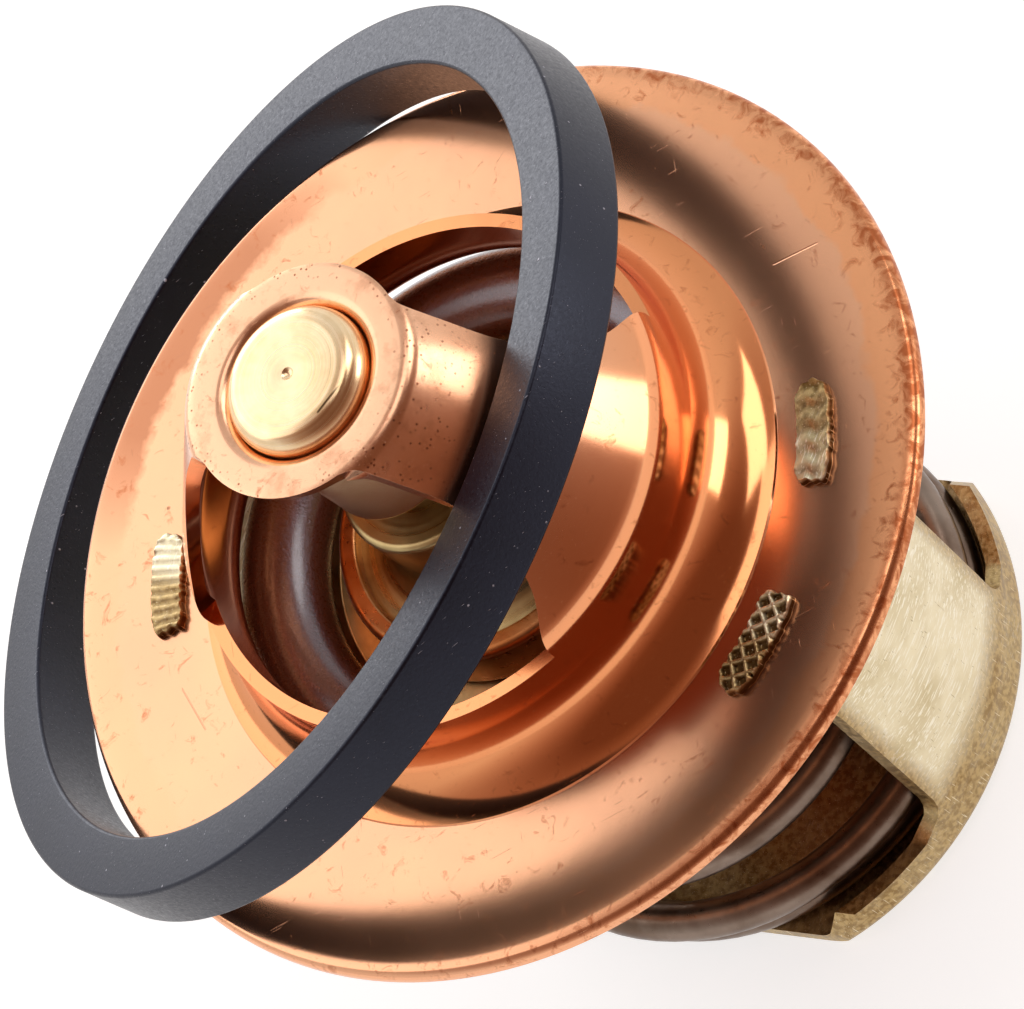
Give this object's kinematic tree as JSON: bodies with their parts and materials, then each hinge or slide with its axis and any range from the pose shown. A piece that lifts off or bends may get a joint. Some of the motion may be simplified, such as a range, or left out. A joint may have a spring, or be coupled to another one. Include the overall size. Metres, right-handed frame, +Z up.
{
  "type": "engine thermostat",
  "caption": "Wax-element engine coolant thermostat with a round brass flange, arched bridge, sprung valve in a rear cage and a loose square-section rubber seal",
  "frame": {"origin": "on the valve axis, in the underside plane of the rear cage's plate, which the part stands on", "axes": "+Z runs up the valve axis from the cage plate to the bridge; X runs through both bridge legs and both cage legs; Y completes the right-handed frame"},
  "size_m": [0.0619, 0.0543, 0.0504],
  "materials": {
    "tombac": "satin",
    "cage_brass": "satin",
    "pin_brass": "machined",
    "cup_brass": "satin",
    "piston_steel": "ground",
    "spring_steel": "drawn wire",
    "ptfe": "matte",
    "boot_rubber": "matte",
    "wax": "matte",
    "bead_rubber": "satin",
    "seal_rubber": "matte"
  },
  "bodies": {
    "housing": {"flange_bridge": "tombac", "rear_cage": "cage_brass", "adjusting_pin": "pin_brass", "piston": "piston_steel", "seal_ring": "seal_rubber", "main_spring": "spring_steel"},
    "valve": {"valve_disc": "cage_brass", "valve_bead": "bead_rubber", "element_guide": "pin_brass", "guide_washer": "ptfe", "piston_boot": "boot_rubber", "wax_charge": "wax", "wax_cup": "cup_brass"}
  },
  "joints": [
    {"name": "valve_travel", "type": "slide", "parent": "housing", "child": "valve", "axis": [0, 0, -1], "range_m": [0, 0.008], "stiffness_N_per_m": 1000, "springref_m": -0.003, "deforming": ["main_spring"]}
  ]
}
